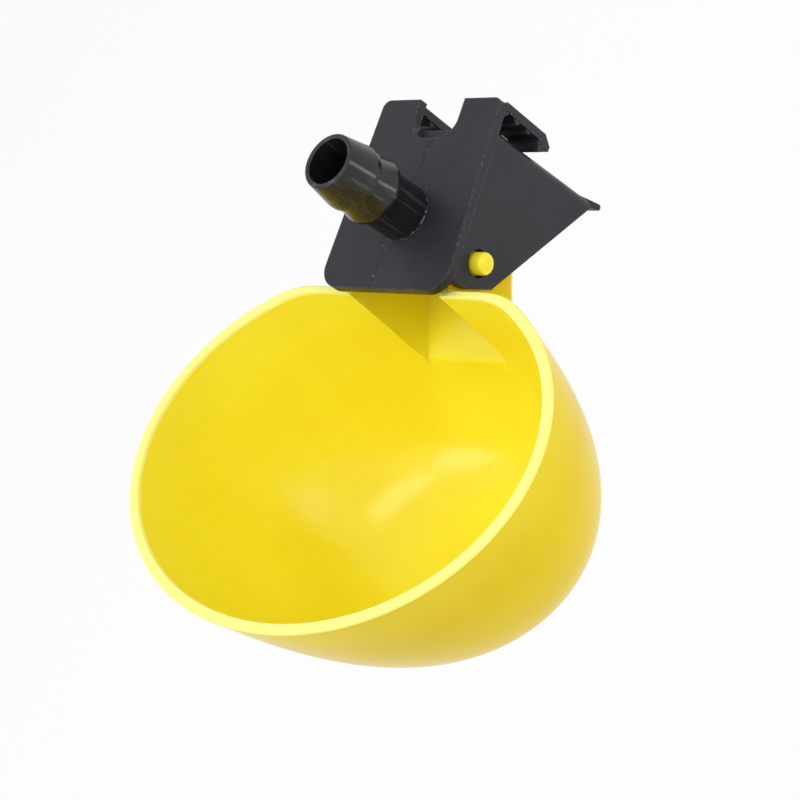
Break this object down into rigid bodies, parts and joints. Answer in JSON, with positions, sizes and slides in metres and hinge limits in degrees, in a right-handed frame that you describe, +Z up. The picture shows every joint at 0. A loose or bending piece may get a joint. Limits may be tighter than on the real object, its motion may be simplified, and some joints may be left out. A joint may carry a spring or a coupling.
{
  "type": "poultry drinking cup",
  "caption": "Hanging poultry drinking cup: black hose bracket with wire hooks, and a yellow bowl on a hinged chute that works a spring valve.",
  "frame": {"origin": "Where the cage wire rests in the slot of the two hooks: on the underside of the bracket's plate, midway between the hooks and midway across the wire slot.", "axes": "+X to the right, +Y towards the cage (from the bowl to the hooks), +Z up along the hose inlet. The cup hangs by its hooks, with the bowl empty and its valve open."},
  "size_m": [0.0946, 0.1007, 0.0676],
  "materials": {
    "bracket": "satin black moulded plastic, glossier on the hose inlet",
    "bowl": "glossy yellow moulded plastic, paler at the rim",
    "valve_pad": "black soft rubber",
    "spring": "stainless spring wire"
  },
  "bodies": {
    "housing": {"bracket": "bracket", "spring": "spring"},
    "bowl": {"bowl": "bowl", "valve_pad": "valve_pad"}
  },
  "joints": [
    {"name": "bowl_swing", "type": "hinge", "parent": "housing", "child": "bowl", "pos_m": [0, -0.02435, -0.00525], "axis": [1, 0, 0], "range_deg": [0, 5], "stiffness_Nm_per_rad": 0.1, "springref_deg": -5.73, "deforming": ["spring"]}
  ]
}
